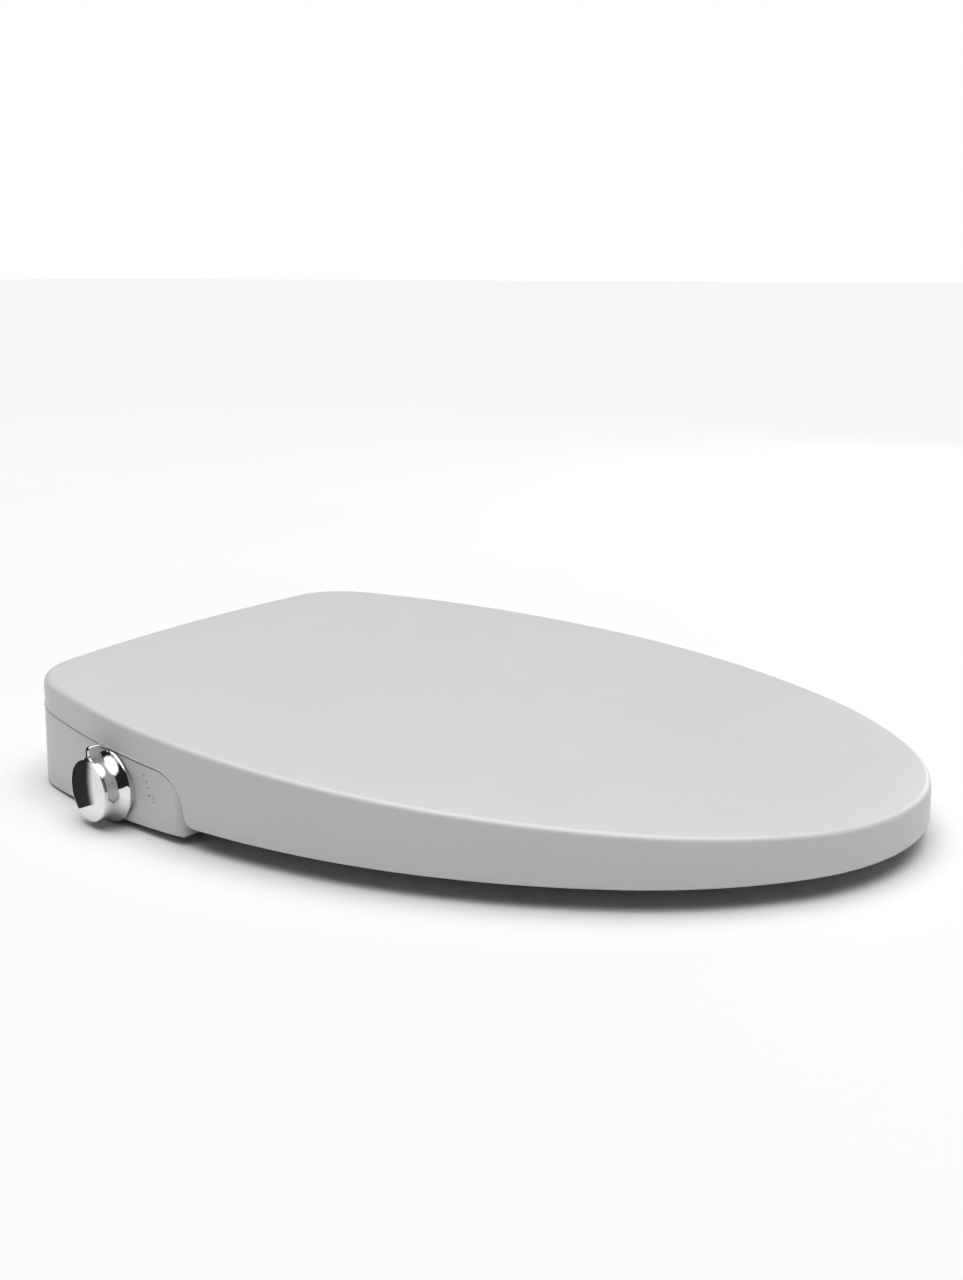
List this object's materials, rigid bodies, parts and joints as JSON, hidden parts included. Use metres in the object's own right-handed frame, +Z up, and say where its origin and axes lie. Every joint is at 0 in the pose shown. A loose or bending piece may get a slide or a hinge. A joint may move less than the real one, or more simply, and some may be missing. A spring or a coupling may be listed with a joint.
{
  "type": "bidet seat",
  "caption": "Slim elongated bidet toilet seat: soft-close lid and ring over a rear water housing with twin sliding nozzles and a chrome lever knob.",
  "frame": {"origin": "midway between the two mounting slots, on the plane of the bowl's rim", "axes": "+Z up from the rim, -Y towards the front tip, so +Y points at the tank; the knob is on the -X side"},
  "size_m": [0.3798, 0.511, 0.0657],
  "materials": {
    "white_gloss": "polished moulded plastic",
    "white_matte": "fine moulded texture",
    "grey_nylon": "matte engineering plastic",
    "chrome": "bright plated",
    "soft_rubber": "soft light grey",
    "steel": "stainless",
    "brass": "machined",
    "valve_ceramic": "lapped",
    "hose_tube": "smooth flexible tube"
  },
  "bodies": {
    "housing": {"rear_cover": "white_gloss", "base_tray": "white_matte", "base_pads": "soft_rubber", "casing_screws": "steel", "hinge_block_left": "grey_nylon", "hinge_block_right": "grey_nylon", "lid_damper_body": "grey_nylon", "seat_damper_body": "grey_nylon", "hinge_pins": "steel", "mounting_plate": "grey_nylon", "bolt_adjusters": "grey_nylon", "latch_holder": "grey_nylon", "release_spring": "steel", "valve_body": "grey_nylon", "valve_nut": "brass", "valve_cap": "grey_nylon", "valve_disc_fixed": "valve_ceramic", "knob_bezel": "chrome", "inlet_connector": "brass", "inlet_nut": "grey_nylon", "inlet_filter": "steel", "check_valve": "grey_nylon", "nozzle_guide": "grey_nylon", "guide_cap": "grey_nylon", "nozzle_spring_rear": "steel", "nozzle_spring_front": "steel", "gate_brackets": "white_matte", "gate_pin": "steel", "hose_inlet": "hose_tube", "hose_rear_wash": "hose_tube", "hose_front_wash": "hose_tube"},
    "seat": {"seat_ring": "white_gloss", "seat_underside": "white_matte", "seat_bumpers": "soft_rubber", "seat_bushes": "grey_nylon", "seat_damper_shaft": "steel"},
    "lid": {"lid_shell": "white_gloss", "lid_bumpers": "soft_rubber", "lid_bushes": "grey_nylon", "lid_damper_shaft": "steel"},
    "control_knob": {"knob": "chrome", "knob_cap": "chrome", "knob_screw": "steel", "valve_stem": "brass", "valve_disc_moving": "valve_ceramic", "valve_orings": "soft_rubber"},
    "rear_nozzle": {"nozzle_rear": "white_matte", "nozzle_tip_rear": "white_matte", "nozzle_seal_rear": "soft_rubber"},
    "front_nozzle": {"nozzle_front": "white_matte", "nozzle_tip_front": "white_matte", "nozzle_seal_front": "soft_rubber"},
    "gate": {"nozzle_gate": "white_matte"},
    "quick_release": {"release_button": "white_gloss", "latch_bar": "grey_nylon"}
  },
  "joints": [
    {"name": "seat_hinge", "type": "hinge", "parent": "housing", "child": "seat", "pos_m": [0, 0.0165, 0.0553], "axis": [-1, 0, 0], "range_deg": [0, 100]},
    {"name": "lid_hinge", "type": "hinge", "parent": "seat", "child": "lid", "pos_m": [0, 0.0165, 0.0553], "axis": [1, 0, 0], "range_deg": [-105, 0]},
    {"name": "knob_turn", "type": "hinge", "parent": "housing", "child": "control_knob", "pos_m": [-0.1745, -0.076, 0.0204], "axis": [-0.974, 0.2265, 0], "range_deg": [-90, 90]},
    {"name": "rear_nozzle_slide", "type": "slide", "parent": "housing", "child": "rear_nozzle", "axis": [0, -0.9397, -0.342], "range_m": [0, 0.038], "stiffness_N_per_m": 30, "springref_m": -0.02, "deforming": ["nozzle_spring_rear"]},
    {"name": "front_nozzle_slide", "type": "slide", "parent": "housing", "child": "front_nozzle", "axis": [0, -0.9397, -0.342], "range_m": [0, 0.038], "stiffness_N_per_m": 30, "springref_m": -0.02, "deforming": ["nozzle_spring_front"]},
    {"name": "gate_hinge", "type": "hinge", "parent": "housing", "child": "gate", "pos_m": [0, -0.1066, 0.031], "axis": [-1, 0, 0], "range_deg": [0, 70]},
    {"name": "release_slide", "type": "slide", "parent": "housing", "child": "quick_release", "axis": [-0.9579, -0.287, 0], "range_m": [0, 0.003], "stiffness_N_per_m": 400, "springref_m": -0.002, "deforming": ["release_spring"]}
  ]
}
